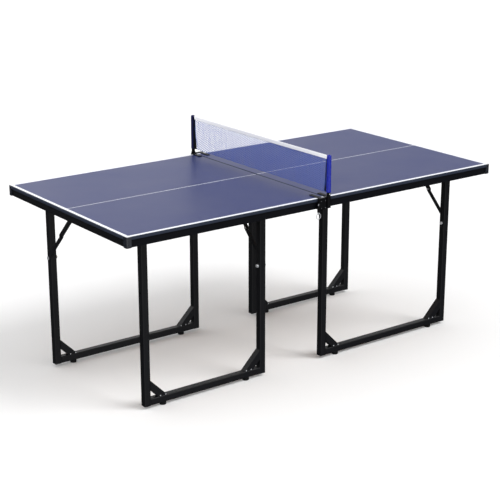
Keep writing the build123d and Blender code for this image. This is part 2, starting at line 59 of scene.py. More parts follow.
# %% [markdown]
# ## Shader arithmetic
#
# A finish is a small sum: a base colour, plus specks, minus wear. Written as nodes
# it takes a dozen lines for each sum, so `Amount` wraps one socket and lets Python
# operators add the Math nodes. `Finish` owns a material. Its `node` method places
# any node: the settings go in first, because some of them open or close sockets,
# and then the values or links. A number alone stays a plain value on its socket.

# %% Amounts and finishes
class Amount:
    """A number that changes over a surface: one socket that Python can reckon with."""

    def __init__(self, finish, socket):
        self.finish = finish
        self.socket = socket

    def maths(self, operation, *numbers, clamp=False):
        settings = {"operation": operation, "use_clamp": clamp}
        return self.finish.node("ShaderNodeMath", settings, dict(enumerate(numbers)))

    def __add__(self, other):
        return self.maths("ADD", self, other)

    __radd__ = __add__

    def __sub__(self, other):
        return self.maths("SUBTRACT", self, other)

    def __rsub__(self, other):
        return self.maths("SUBTRACT", other, self)

    def __mul__(self, other):
        return self.maths("MULTIPLY", self, other)

    __rmul__ = __mul__

    def __truediv__(self, other):
        return self.maths("DIVIDE", self, other)

    def __abs__(self):
        return self.maths("ABSOLUTE", self)

    def __or__(self, other):
        return self.maths("MAXIMUM", self, other)

    __ror__ = __or__

    def above(self, limit, soft):
        """1 where this is over the limit and 0 where it is under, over a soft edge."""
        return self.maths("MULTIPLY_ADD", self, 1 / soft, 0.5 - limit / soft, clamp=True)

    def wave(self, pitch):
        """A ripple from -1 to 1 that repeats at each pitch."""
        return self.maths("SINE", self * (2 * math.pi / pitch))


class Finish:
    """One material, or one world, whose nodes are all placed by one method."""

    def __init__(self, name, kind=bpy.data.materials):
        self.material = kind.new(name)
        self.material.use_nodes = True
        self.tree = self.material.node_tree
        self.tree.nodes.clear()

    def node(self, kind, settings=None, sockets=None, output=0):
        made = self.tree.nodes.new(kind)
        for name, value in (settings or {}).items():
            setattr(made, name, value)
        ready = [socket for socket in made.inputs if socket.enabled]
        for name, value in (sockets or {}).items():
            by_name = [socket for socket in ready if socket.name == name]
            socket = by_name[0] if by_name else ready[name]
            if isinstance(value, Amount):
                self.tree.links.new(value.socket, socket)
            else:
                socket.default_value = value
        results = [socket for socket in made.outputs if socket.enabled]
        by_name = [socket for socket in results if socket.name == output]
        return Amount(self, by_name[0] if by_name else results[output])

    def place(self, stretch=(1, 1, 1)):
        """Where a point is on its piece, in metres; a stretch under 1 draws a pattern out."""
        where = self.node("ShaderNodeTexCoord", output="Object")
        return self.node("ShaderNodeMapping", None, {"Vector": where, "Scale": stretch})

    def split(self, vector):
        """The three numbers of a vector."""
        whole = {"Vector": vector}
        return [self.node("ShaderNodeSeparateXYZ", None, whole, axis) for axis in range(3)]

    def cloth_place(self):
        """Where a point is on the flat cut of a cloth, in metres: across and along."""
        where = self.node("ShaderNodeUVMap", {"uv_map": "cut"})
        across, along, _ = self.split(where)
        return across, along

    def specks(self, size, stretch=(1, 1, 1), detail=3.0):
        """Cloudy noise, about 0.5, in lumps of about this size in metres."""
        sockets = {"Vector": self.place(stretch), "Scale": 1 / size, "Detail": detail}
        return self.node("ShaderNodeTexNoise", None, sockets)

    def edges(self, reach):
        """1 on corners and edges that hands and floors rub, and 0 on flat faces."""
        rounded = self.node("ShaderNodeBevel", {"samples": 4}, {"Radius": reach})
        true = self.node("ShaderNodeNewGeometry", None, None, "Normal")
        product = {"operation": "DOT_PRODUCT"}
        agree = self.node("ShaderNodeVectorMath", product, {0: rounded, 1: true}, "Value")
        return (1 - agree).above(0.12, 0.2)

    def mix(self, share, first, second):
        """A colour part of the way from the first to the second."""
        sockets = {"Factor": share, "A": first, "B": second}
        return self.node("ShaderNodeMix", {"data_type": "RGBA"}, sockets)

    def bump(self, height, depth):
        """A surface normal from a height of 0 to 1 and the depth in metres that 1 stands for."""
        return self.node("ShaderNodeBump", None, {"Height": height, "Distance": depth})

    def surface(self, sockets):
        """Closes the material with a principled shader."""
        shader = self.node("ShaderNodeBsdfPrincipled", None, sockets)
        return self.closed(shader, "ShaderNodeOutputMaterial")

    def closed(self, shader, output):
        """Joins the last shader to the output node, and gives the datablock back."""
        last = self.tree.nodes.new(output)
        self.tree.links.new(shader.socket, last.inputs["Surface"])
        return self.material


def tone(red, green, blue):
    """A colour from display values of 0 to 255, as the linear light that a shader takes."""
    linear = [((c / 255 + 0.055) / 1.055) ** 2.4 for c in (red, green, blue)]
    return (*linear, 1.0)


# %% [markdown]
# ## The camera
#
# It stands to the left of the near side, well above the net, with a long lens, as
# for a catalogue picture. It comes first, so that each piece can be judged from
# it as soon as the piece is made.

# %% Camera
CAMERA_PLACE = Vector((-3.194, -4.277, 2.116))
CAMERA_AZIMUTH = math.radians(-36.58)
CAMERA_HEIGHT_ANGLE = math.radians(17.56)
LENS = 94.7
SHIFT = -0.0053

camera = bpy.data.objects.new("camera", bpy.data.cameras.new("camera"))
bpy.context.scene.collection.objects.link(camera)
back = Vector((
    math.sin(CAMERA_AZIMUTH) * math.cos(CAMERA_HEIGHT_ANGLE),
    -math.cos(CAMERA_AZIMUTH) * math.cos(CAMERA_HEIGHT_ANGLE),
    math.sin(CAMERA_HEIGHT_ANGLE),
))
camera.location = CAMERA_PLACE
camera.rotation_euler = back.to_track_quat("Z", "Y").to_euler()
camera.data.lens = LENS
camera.data.shift_x = SHIFT
bpy.context.scene.camera = camera

# %% [markdown]
# ## The lacquered board
#
# The board is fibreboard with a sprayed blue-violet lacquer on top and white lines
# masked and sprayed over it: one round each half along the rails, none at the seam,
# and a thin one down the middle. The lines could be thin solids, but paint has no
# thickness worth a solid, so a mask from the board's own sizes draws them. The
# lacquer keeps a faint orange peel, and its underside is bare fibreboard.

# %% Board finish
BORDER_LINE = 13.0 * MM
CENTRE_LINE = 3.0 * MM

board_low, board_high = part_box("right_board")


def board_finish():
    finish = Finish("lacquered_board")
    x, y, z = finish.split(finish.place())
    ends = abs(x).above(board_high.x - BORDER_LINE, 0.4 * MM)
    sides = abs(y).above(board_high.y - BORDER_LINE, 0.4 * MM)
    middle = 1 - abs(y).above(CENTRE_LINE / 2, 0.4 * MM)
    lines = ends | sides | middle
    cloud = finish.specks(0.22, detail=2.0)
    lacquer = finish.mix(cloud, tone(28, 41, 98), tone(36, 49, 106))
    painted = finish.mix(lines, lacquer, tone(244, 246, 252))
    fibres = finish.specks(0.9 * MM, detail=4.0).above(0.5, 0.5)
    bare = finish.mix(fibres, tone(120, 88, 60), tone(152, 118, 84))
    top = z.above(board_high.z - 0.6 * MM, 0.2 * MM)
    colour = finish.mix(top, bare, painted)
    gloss = 0.42 - 0.06 * lines + 0.10 * (cloud - 0.5)
    roughness = top * gloss + 0.85 * (1 - top)
    peel = finish.specks(1.6 * MM, detail=1.0)
    height = peel + 3.0 * lines
    return finish.surface({
        "Base Color": colour,
        "Roughness": roughness,
        "Specular IOR Level": 0.5,
        "Normal": finish.bump(height, 0.02 * MM),
    })


# %% [markdown]
# ## Paint, plastic, rubber and zinc
#
# The tubes and brackets are powder-coated: the coat melts into a fine orange peel
# and wears to a paler grey on corners that rub. The rails are extruded, so their
# marks run along their length. The caps and feet are moulded with a fine sparked
# grain. The bolts and rings are zinc-plated, bright but a little cloudy. Each is a
# short function, because a finish is easiest to judge next to its neighbours.

# %% Hard finishes
def brighter(colour, times):
    """The same colour with this many times its light."""
    return (*(part * times for part in colour[:3]), 1.0)


def powder_coat(name, colour, worn, roughness, specular):
    finish = Finish(name)
    peel = finish.specks(1.1 * MM, detail=1.5)
    cloud = finish.specks(60 * MM, detail=2.0)
    rub = finish.edges(0.8 * MM) * finish.specks(9 * MM, detail=4.0).above(0.60, 0.2)
    shade = finish.mix(cloud, colour, brighter(colour, 1.25))
    return finish.surface({
        "Base Color": finish.mix(0.5 * rub, shade, worn),
        "Roughness": roughness + 0.10 * (cloud - 0.5) + 0.12 * rub,
        "Specular IOR Level": specular,
        "Normal": finish.bump(peel, 0.03 * MM),
    })


def rail_finish(lip_bottom):
    """Black rail: a matt web, and above it a smoother band painted lighter, partly its own edging and
    partly a painted highlight.
    """
    finish = Finish("extruded_rail")
    _, _, height = finish.split(finish.place())
    draw_marks = finish.specks(0.7 * MM, stretch=(0.01, 0.01, 1.0), detail=3.0)
    cloud = finish.specks(80 * MM, detail=2.0)
    web = finish.mix(cloud, tone(2, 3, 9), tone(5, 7, 14))
    # The band along the board's edge is painted lighter than the web: partly a lighter edging, partly
    # a painted highlight from above.
    lip_tone_and_highlight = finish.mix(cloud, tone(36, 41, 54), tone(44, 50, 64))
    on_lip = height.above(lip_bottom, 1.0 * MM)
    return finish.surface({
        "Base Color": finish.mix(on_lip, web, lip_tone_and_highlight),
        "Roughness": 0.50 - 0.14 * on_lip + 0.08 * (draw_marks - 0.5),
        "Specular IOR Level": 0.12,
        "Normal": finish.bump(draw_marks, 0.02 * MM),
    })


def moulded_finish(name, colour, roughness, specular):
    finish = Finish(name)
    grain = finish.specks(0.5 * MM, detail=2.0)
    cloud = finish.specks(12 * MM, detail=2.0)
    return finish.surface({
        "Base Color": finish.mix(cloud, colour, brighter(colour, 1.3)),
        "Roughness": roughness + 0.12 * (cloud - 0.5),
        "Specular IOR Level": specular,
        "Normal": finish.bump(grain, 0.04 * MM),
    })


def zinc_finish():
    finish = Finish("bright_zinc")
    cloud = finish.specks(3 * MM, detail=3.0)
    scratches = finish.specks(0.4 * MM, stretch=(1.0, 1.0, 0.08), detail=2.0)
    return finish.surface({
        "Base Color": finish.mix(cloud, tone(186, 190, 196), tone(222, 224, 228)),
        "Metallic": 0.65,
        "Roughness": 0.30 + 0.20 * (cloud - 0.4),
        "Normal": finish.bump(scratches, 0.015 * MM),
    })


board = board_finish()
black_paint = powder_coat("black_powder_coat", tone(6, 7, 12), tone(48, 50, 55), 0.38, 0.28)
clamp_paint = powder_coat("clamp_powder_coat", tone(5, 5, 8), tone(60, 62, 66), 0.45, 0.1)
rail = rail_finish(board_low.z)
cap_plastic = moulded_finish("cap_plastic", tone(20, 23, 31), 0.28, 0.7)
rubber = moulded_finish("foot_rubber", tone(10, 10, 11), 0.7, 0.2)
zinc = zinc_finish()

# %% [markdown]
# ## Cloth
#
# The tape is white and the near sleeve a slippery royal blue. The far sleeve is a darker
# navy copy of that cloth, painted shade for the dimmer far end, and the binding of
# both is nearly black. All are woven, so each reads its place from the flat cut of
# the cloth, in metres, which the piece keeps as a UV map. A weave drawn in that space
# bends with the cloth, where one drawn in space would cut through it.
# The cords of the net and the stitches are thread, too thin for a weave to show, so
# a fine noise along them is enough.

# %% Cloth finishes
def woven_finish(name, dark, light, pitch, roughness, specular):
    finish = Finish(name)
    across, along = finish.cloth_place()
    warp = across.wave(pitch)
    weft = along.wave(pitch)
    weave = warp * weft
    cloud = finish.specks(7 * MM, detail=3.0)
    share = 0.5 + 0.22 * weave + 0.9 * (cloud - 0.5)
    return finish.surface({
        "Base Color": finish.mix(share, dark, light),
        "Roughness": roughness + 0.10 * (cloud - 0.5),
        "Specular IOR Level": specular,
        "Normal": finish.bump(weave, 0.06 * MM),
    })


def cord_finish(name, dark, light):
    finish = Finish(name)
    twist = finish.specks(0.8 * MM, stretch=(1.0, 1.0, 0.4), detail=2.0)
    return finish.surface({
        "Base Color": finish.mix(twist, dark, light),
        "Roughness": 0.62,
        "Sheen Weight": 0.15,
        "Specular IOR Level": 0.3,
        "Normal": finish.bump(twist, 0.12 * MM),
    })


net_cord = cord_finish("net_cord", tone(14, 58, 160), tone(30, 88, 198))
tape_cloth = woven_finish("tape_cloth", tone(238, 239, 245), tone(253, 253, 255), 0.9 * MM, 0.7, 0.3)
royal_cloth = woven_finish("royal_cloth", tone(0, 9, 112), tone(4, 36, 172), 0.7 * MM, 0.26, 0.5)
# A darker navy copy of the royal cloth, painted shade for the far sleeve.
far_sleeve_shaded_cloth = woven_finish("far_sleeve_shaded_cloth", tone(0, 2, 54), tone(3, 6, 84), 0.7 * MM, 0.4, 0.25)
binding_cloth = woven_finish("binding_cloth", tone(3, 3, 11), tone(7, 8, 20), 0.7 * MM, 0.6, 0.1)
white_thread = cord_finish("white_thread", tone(214, 216, 222), tone(246, 246, 250))
blue_thread = cord_finish("blue_thread", tone(20, 40, 140), tone(50, 80, 190))

# %% [markdown]
# ## Finishes on the CAD nodes
#
# A CAD node keeps its mesh, and only its material slots are filled again. The name
# of a node says what it is, so the last word of the name picks the finish.

# %% Dress the CAD nodes
FINISH_OF = {
    "board": board,
    "apron_near": rail,
    "apron_far": rail,
    "apron_seam": rail,
    "apron_end": rail,
    "corner_caps": cap_plastic,
    "hinge_brackets": black_paint,
    "hinge_pins": zinc,
    "leg": black_paint,
    "stretcher": black_paint,
    "gussets": black_paint,
    "feet": rubber,
    "link": black_paint,
    "brace_fasteners": zinc,
    "net_bracket": clamp_paint,
    "net_post": clamp_paint,
    "lock_pin": zinc,
    "pull_ring": zinc,
}

for name, node in nodes.items():
    ending = [key for key in FINISH_OF if name.endswith(key)]
    if ending:
        for slot in node.material_slots:
            slot.material = FINISH_OF[ending[0]]
print("finished nodes:", sum(any(n.endswith(k) for k in FINISH_OF) for n in nodes))

# %% [markdown]
# ## Making a piece
#
# Every new piece ends the same way: its bmesh becomes a mesh, its object stays at
# the origin with the place in the mesh, it gets a finish, and it rides on a body.

# %% From bmesh to piece
def make_piece(name, shape, material, body, smooth=True):
    """Turns a finished bmesh into an object that rides on a CAD body."""
    mesh = bpy.data.meshes.new(name)
    shape.to_mesh(mesh)
    shape.free()
    mesh.materials.append(material)
    mesh.polygons.foreach_set("use_smooth", [smooth] * len(mesh.polygons))
    piece = bpy.data.objects.new(name, mesh)
    bpy.context.scene.collection.objects.link(piece)
    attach(piece, body)
    return piece


def turned(outline, segments, place, direction):
    """A solid of revolution: (radius, height) points spun, then stood at a place."""
    shape = bmesh.new()
    corners = [shape.verts.new((radius, 0, height)) for radius, height in outline]
    line = [shape.edges.new(pair) for pair in zip(corners, corners[1:])]
    bmesh.ops.spin(
        shape, geom=corners + line, cent=(0, 0, 0), axis=(0, 0, 1), dvec=(0, 0, 0),
        angle=2 * math.pi, steps=segments, use_merge=True, use_duplicate=False,
    )
    bmesh.ops.remove_doubles(shape, verts=shape.verts, dist=1e-6)
    bmesh.ops.recalc_face_normals(shape, faces=shape.faces)
    turn = Vector(direction).to_track_quat("Z", "Y").to_matrix().to_4x4()
    bmesh.ops.transform(shape, matrix=Matrix.Translation(place) @ turn, verts=shape.verts)
    return shape


def joined(shapes):
    """Several bmeshes as one, each still closed by itself."""
    whole = bmesh.new()
    for shape in shapes:
        mesh = bpy.data.meshes.new("part")
        shape.to_mesh(mesh)
        whole.from_mesh(mesh)
        shape.free()
        bpy.data.meshes.remove(mesh)
    return whole


# %% [markdown]
# ## Rivets and screws
#
# Each gusset is riveted through its stretcher, two rivets to a landing. The lock
# housings are riveted to their clamps, the hinge brackets are screwed up into the
# board, and each net post has one screw above its socket. On a lathe a head is a turned
# outline, so here a short outline is spun. A few dozen faces are enough for a head
# this small, and the rest of its look is in the zinc.

# %% Rivets and screws
RIVET_RADIUS = 2.6 * MM
RIVET_HEIGHT = 1.3 * MM
SCREW_RADIUS = 4.0 * MM
SCREW_HEIGHT = 1.6 * MM
RECESS = 0.38
SEATED = -0.3 * MM


def rivet_head(place, direction):
    """A low dome, its back just inside the face it sits on."""
    dome = [
        (RIVET_RADIUS * math.cos(angle), RIVET_HEIGHT * math.sin(angle))
        for angle in (math.radians(step * 18) for step in range(5))
    ]
    outline = [(0, SEATED), (RIVET_RADIUS, SEATED), *dome, (0, RIVET_HEIGHT)]
    return turned(outline, 12, place, direction)


def screw_head(place, direction, size=1.0):
    """A pan head with a round driving recess."""
    radius = size * SCREW_RADIUS
    height = size * SCREW_HEIGHT
    outline = [
        (0, SEATED),
        (radius, SEATED),
        (radius, 0.5 * height),
        (0.85 * radius, 0.9 * height),
        (0.6 * radius, height),
        (RECESS * radius, height),
        (0.6 * RECESS * radius, 0.3 * height),
        (0, 0.3 * height),
    ]
    return turned(outline, 12, place, direction)


def gusset_rivets(frame_name):
    """Two rivets on each side of each landing of a gusset on the stretcher."""
    low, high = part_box(f"{frame_name}_gussets")
    reach = high.z - low.z
    heads = []
    for corner, inwards in ((low.x, 1), (high.x, -1)):
        for along in (0.58 * reach, 0.90 * reach):
            for y, facing in ((low.y, -1), (high.y, 1)):
                place = (corner + inwards * along, y, low.z + 3.2 * MM)
                heads.append(rivet_head(place, (0, facing, 0)))
    return heads


for name in FRAMES:
    heads = joined(gusset_rivets(name))
    make_piece(f"{name}_gusset_rivets", heads, zinc, f"{name}_frame")
print("gusset rivets on", len(FRAMES), "frames")

# %% [markdown]
# ## Screws under the board
#
# The hinge brackets hang below the boards, where nobody looks until the table is
# carried. Each has two screws, one on each side of its leg or of its ear. Their
# places come from the boxes of the legs and links, so they follow the CAD model.

# %% Screws under the board
BRACKET_STEEL = 2.5 * MM
LEG_SCREW_SPREAD = 24 * MM
EAR_SCREW_SPREAD = 15 * MM
EAR_SCREW_OFFSET = 11 * MM
UPPER_LINK_END = 11 * MM

plate_z = board_low.z - BRACKET_STEEL


def bracket_screws(frame_name):
    """Screws up into the board at the two legs and at the brace of one frame."""
    places = []
    for leg in ("inner_leg", "outer_leg"):
        low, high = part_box(f"{frame_name}_{leg}")
        for spread in (-LEG_SCREW_SPREAD, LEG_SCREW_SPREAD):
            places.append(((low.x + high.x) / 2, (low.y + high.y) / 2 + spread))
    low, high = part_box(f"{frame_name}_upper_link")
    lower_link_low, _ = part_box(f"{frame_name}_lower_link")
    outwards = 1 if low.x > lower_link_low.x else -1
    x = (high.x if outwards > 0 else low.x) + outwards * EAR_SCREW_OFFSET
    y = math.copysign(min(abs(low.y), abs(high.y)) + UPPER_LINK_END, low.y)
    places += [(x, y - EAR_SCREW_SPREAD), (x, y + EAR_SCREW_SPREAD)]
    return [screw_head((x, y, plate_z), (0, 0, -1)) for x, y in places]


for side in ("left", "right"):
    frames = [name for name in FRAMES if name.endswith(side)]
    heads = [head for name in frames for head in bracket_screws(name)]
    make_piece(f"{side}_bracket_screws", joined(heads), zinc, f"{side}_half")

# %% [markdown]
# ## Rivets of the clamps, and the post screws
#
# The housing of each lock pin is riveted to its clamp by four rivets, and a small
# screw sits in each post just above its socket.
#
# A fault is left here. The far clamp is the near one turned half round, so its
# housing lies on the other side of its post, but both clamps use the near one's
# places, and the far heads stand clear of their housing. Multiplying x by -facing
# would put them on it.

# %% Clamp rivets and post screws
HOUSING_RIVETS = [(x * MM, z * MM) for x in (-36, -15) for z in (723, 752)]
POST_SCREW_Z = 776 * MM
POST_SCREW_SIZE = 0.7

for side in ("near", "far"):
    facing = -1 if side == "near" else 1
    post_low, post_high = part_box(f"{side}_net_post")
    post_y = (post_low.y + post_high.y) / 2
    heads = [rivet_head((x, post_y, z), (0, facing, 0)) for x, z in HOUSING_RIVETS]
    make_piece(f"{side}_housing_rivets", joined(heads), zinc, "left_half")
    outer_y = post_low.y if facing < 0 else post_high.y
    screw = screw_head((0, outer_y, POST_SCREW_Z), (0, facing, 0), POST_SCREW_SIZE)
    make_piece(f"{side}_post_screw", screw, zinc, "net_set")
print("fasteners added on the frames, the halves and the net set")

# %% [markdown]
# ## The net
#
# The net is knitted cord. A flat sheet with see-through paint would lose its edge
# from close by, so the cord is real: a grid is hung as cloth, every second rung is
# taken out, the joints are drawn together into six-sided holes, and the Wireframe
# modifier turns each line into cord. Hanging it first, while it is still a plain
# grid, gives the slack ripples of a net held only by its top and its two ends.

# %% Hang the net
mesh_low, mesh_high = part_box("net_mesh")
tape_low, tape_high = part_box("net_tape")
NET_COLUMNS = 124
NET_ROWS = 34
CORD = 2.1 * MM
CORD_PULL = 0.28
NET_TUCK = 6 * MM
HANG_FRAMES = 24


def sway(y):
    """How far the top edge leaves the middle plane, a millimetre or so, along its length."""
    return (0.5 * math.sin(7.3 * y + 0.6) + 0.35 * math.sin(17.0 * y)) * MM


def droop(y):
    """How far the tape hangs below its ends."""
    half = mesh_high.y
    return 1.2 * MM * (1 - (y / half) ** 2)


def hang(piece, frames):
    """Lets a pinned grid settle as cloth, and keeps the settled shape."""
    cloth = piece.modifiers.new("hang", "CLOTH")
    cloth.settings.vertex_group_mass = "held"
    cloth.settings.quality = 6
    cloth.settings.mass = 0.05
    cloth.settings.tension_stiffness = 25
    cloth.settings.compression_stiffness = 25
    cloth.settings.bending_stiffness = 0.02
    cloth.settings.shrink_min = -0.006
    cloth.collision_settings.use_collision = False
    for step in range(1, frames + 1):
        bpy.context.scene.frame_set(step)
    ready = piece.evaluated_get(bpy.context.evaluated_depsgraph_get())
    settled = bpy.data.meshes.new_from_object(ready)
    piece.modifiers.clear()
    bpy.context.scene.frame_set(1)
    return settled


net_height = mesh_high.z - mesh_low.z + NET_TUCK
net_length = mesh_high.y - mesh_low.y
grid = bmesh.new()
bmesh.ops.create_grid(grid, x_segments=NET_COLUMNS, y_segments=NET_ROWS, size=0.5)
for knot in grid.verts:
    y = knot.co.x * net_length
    rise = knot.co.y + 0.5
    top = mesh_low.z + rise * net_height - droop(y) * rise
    knot.co = Vector((sway(y) * rise, y, top))
net = bpy.data.objects.new("net", bpy.data.meshes.new("net"))
grid.to_mesh(net.data)
grid.free()
bpy.context.scene.collection.objects.link(net)
held = net.vertex_groups.new(name="held")
held.add([
    v.index for v in net.data.vertices
    if abs(v.co.y) > mesh_high.y - 1 * MM or v.co.z > mesh_high.z - droop(v.co.y) - 0.5 * MM
], 1.0, "REPLACE")
settled = hang(net, HANG_FRAMES)

knit = bmesh.new()
knit.from_mesh(settled)
bpy.data.objects.remove(net)
knit.verts.ensure_lookup_table()
column_step = net_length / NET_COLUMNS
row_of = {v: v.index // (NET_COLUMNS + 1) for v in knit.verts}
column_of = {v: v.index % (NET_COLUMNS + 1) for v in knit.verts}
rungs = []
for edge in knit.edges:
    first, second = edge.verts
    level = row_of[first] == row_of[second]
    edge_row = row_of[first]
    left = min(column_of[first], column_of[second])
    inside = 0 < edge_row < NET_ROWS
    if level and inside and (left + edge_row) % 2:
        rungs.append(edge)
for knot in knit.verts:
    row, column = row_of[knot], column_of[knot]
    if 0 < row < NET_ROWS and 0 < column < NET_COLUMNS:
        side = 1 if (row + column) % 2 == 0 else -1
        knot.co.y += side * CORD_PULL * column_step
bmesh.ops.dissolve_edges(knit, edges=rungs, use_verts=False, use_face_split=False)
net = make_piece("net", knit, net_cord, "net_set")
cords = net.modifiers.new("cords", "WIREFRAME")
cords.thickness = CORD
cords.use_even_offset = False
cords.use_boundary = True
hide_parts("net_mesh")
print("net holes:", len(net.data.polygons))

# %% [markdown]
# ## The tape
#
# The white tape is a strip folded over the top cord and sewn through. It starts as
# the flat strip, a grid, and each row is moved round the fold by how far it lies
# from the middle of the strip. Solidify gives it the thickness of tape, and the
# stitches are short beads of thread on both sides.

# %% Fold the tape
TAPE_ARC = 1.5 * MM
TAPE_CLOTH = 0.45 * MM
TAPE_COLUMNS = 180
TAPE_ROWS = 16
STITCH_PITCH = 3.8 * MM
STITCH_RISE = 2.2 * MM

tape_drop = tape_high.z - tape_low.z - TAPE_ARC
tape_width = 2 * tape_drop + math.pi * TAPE_ARC
tape_length = tape_high.y - tape_low.y


def fold(across, y):
    """Where a point of the flat strip goes when the strip hangs over the top cord."""
    half_arc = math.pi * TAPE_ARC / 2
    centre_z = tape_high.z - TAPE_ARC - droop(y)
    flare = 0.25 * MM * math.sin(23 * y + (1.7 if across > 0 else 0.2))
    if abs(across) <= half_arc:
        angle = across / TAPE_ARC
        return Vector((sway(y) + TAPE_ARC * math.sin(angle), y, centre_z + TAPE_ARC * math.cos(angle)))
    side = math.copysign(1, across)
    fallen = abs(across) - half_arc
    out = TAPE_ARC - 0.4 * MM * (fallen / tape_drop) + flare * (fallen / tape_drop)
    return Vector((sway(y) + side * out, y, centre_z - fallen))


def keep_cut(shape, across_of, along_of):
    """Writes the flat cut into the UV map that the cloth finishes read."""
    cut = shape.loops.layers.uv.new("cut")
    for face in shape.faces:
        for loop in face.loops:
            loop[cut].uv = (across_of[loop.vert], along_of[loop.vert])


strip = bmesh.new()
bmesh.ops.create_grid(strip, x_segments=TAPE_COLUMNS, y_segments=TAPE_ROWS, size=0.5)
across_of = {v: v.co.y * tape_width for v in strip.verts}
along_of = {v: v.co.x * tape_length for v in strip.verts}
keep_cut(strip, across_of, along_of)
for point in strip.verts:
    point.co = fold(across_of[point], along_of[point])
bmesh.ops.recalc_face_normals(strip, faces=strip.faces)
tape = make_piece("tape", strip, tape_cloth, "net_set")
thickness = tape.modifiers.new("thickness", "SOLIDIFY")
thickness.thickness = TAPE_CLOTH
thickness.offset = -1
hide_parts("net_tape")

stitches = bmesh.new()
count = int(tape_length / STITCH_PITCH)
for index in range(count):
    y = (index + 0.5) * STITCH_PITCH - tape_length / 2
    for side in (-1, 1):
        seat = fold(side * (tape_width / 2 - STITCH_RISE), y)
        bead = Matrix.Translation(seat) @ Matrix.Diagonal((0.3 * MM, 1.3 * MM, 0.32 * MM, 1))
        bmesh.ops.create_icosphere(stitches, subdivisions=1, radius=1, matrix=bead)
tape_stitches = make_piece("tape_stitches", stitches, white_thread, "net_set")
print("stitches:", 2 * count)

# %% [markdown]
# ## The sleeves
#
# Each end of the net is sewn to a sleeve that slips over its post. The sleeve is
# one cloth folded round the post, its two layers meeting in a flap on the net side,
# where a navy binding holds them and the net together. It starts as a circle
# extruded upwards; every ring is then pulled out into the flap, more at the bottom,
# and drawn in over the post's top.

# %% Sew the sleeves
SLEEVE_SEGMENTS = 48
SLEEVE_RINGS = 60
FLAP_SPREAD = math.radians(48)
FLAP_LAYERS = 0.55 * MM
FLAP_TOP = 15 * MM
FLAP_BOTTOM = 27 * MM
DOME = 6 * MM
SLEEVE_CLOTH = 0.35 * MM
HEM_HEIGHT = 8 * MM
HEM_LAYER = 0.3 * MM
BINDING_CLOTH = 0.3 * MM
BINDING_GAP = 0.6 * MM
BINDING_ROOT = 7 * MM
BINDING_COLUMNS = 24


def flap_reach(share):
    """How far the flap stands out from the post's centre, at a share of the height."""
    return FLAP_BOTTOM + (FLAP_TOP - FLAP_BOTTOM) * share ** 0.7


def flap_half(out, reach, radius):
    """Half the thickness of the flap, as far out from the post's centre as this."""
    root = radius * math.cos(FLAP_SPREAD)
    ease = max(0.0, (reach - out) / (reach - root))
    return FLAP_LAYERS + (radius * math.sin(FLAP_SPREAD) - FLAP_LAYERS) * ease ** 1.7


def creases(angle, z, side):
    """How far the cloth stands off the post: long folds, small wrinkles and the hem."""
    long_folds = Vector((3 * math.sin(angle), 3 * math.cos(angle), 22 * z + 9 * side))
    wrinkles = Vector((4 * math.sin(angle), 4 * math.cos(angle), 130 * z + 3 * side))
    hem = HEM_LAYER * (z < HEM_HEIGHT)
    return 0.55 * MM * noise.noise(long_folds) + 0.4 * MM * noise.noise(wrinkles) + hem


def sleeve_point(angle, share, height, radius, side):
    """Where a point of the sleeve goes: (across the net, out from the post towards it)."""
    over = (share * height - (height - DOME)) / DOME
    shrink = math.sqrt(max(0.0, 1 - max(0.0, over) ** 2))
    reach = flap_reach(share)
    if abs(angle) < FLAP_SPREAD:
        root = radius * math.cos(FLAP_SPREAD)
        out = reach + (root - reach) * abs(angle) / FLAP_SPREAD
        sideways = math.copysign(flap_half(out, reach, radius), angle)
        return shrink * sideways * (abs(angle) > 1e-4), shrink * out
    full = radius + creases(angle, share * height, side)
    return shrink * full * math.sin(angle), shrink * full * math.cos(angle)


def sleeve_room(side):
    """What both cloths of the near (-1) or far (1) sleeve need to know of its CAD box."""
    name = "near" if side < 0 else "far"
    low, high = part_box(f"{name}_net_sleeve")
    centre_y = (low.y + high.y) / 2
    radius = (high.x - low.x) / 2 - SLEEVE_CLOTH
    height = high.z - low.z
    return name, low, high, centre_y, radius, height


def sew_sleeve(side):
    """The near (-1) or far (1) sleeve, its flap turned towards the net."""
    name, low, high, centre_y, radius, height = sleeve_room(side)
    tube = bmesh.new()
    ring = bmesh.ops.create_circle(tube, segments=SLEEVE_SEGMENTS, radius=1)["verts"]
    edges = list(tube.edges)
    ring_of = {point: 0 for point in ring}
    for step in range(1, SLEEVE_RINGS + 1):
        grown = bmesh.ops.extrude_edge_only(tube, edges=edges)["geom"]
        fresh = {item for item in grown if isinstance(item, bmesh.types.BMVert)}
        edges = [
            item for item in grown
            if isinstance(item, bmesh.types.BMEdge) and set(item.verts) <= fresh
        ]
        ring_of.update({point: step for point in fresh})
    across_of = {}
    along_of = {}
    for point, step in ring_of.items():
        angle = math.atan2(point.co.x, point.co.y * -side)
        share = step / SLEEVE_RINGS
        x, out = sleeve_point(angle, share, height, radius, side)
        point.co = Vector((x, centre_y - side * out, low.z + share * height))
        across_of[point] = radius * angle
        along_of[point] = share * height
    keep_cut(tube, across_of, along_of)
    top = [point for point, step in ring_of.items() if step == SLEEVE_RINGS]
    bmesh.ops.pointmerge(tube, verts=top, merge_co=Vector((0, centre_y, high.z)))
    bmesh.ops.recalc_face_normals(tube, faces=tube.faces)
    # The far sleeve takes the darker copy of the royal cloth: painted shade.
    cloth = royal_cloth if side < 0 else far_sleeve_shaded_cloth
    sleeve = make_piece(f"{name}_sleeve", tube, cloth, "net_set")
    wall = sleeve.modifiers.new("cloth", "SOLIDIFY")
    wall.thickness = SLEEVE_CLOTH
    wall.offset = 1
    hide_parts(f"{name}_net_sleeve")
    around = 2 * math.pi * radius + 2 * (FLAP_BOTTOM - radius)
    return sleeve, (around, height)


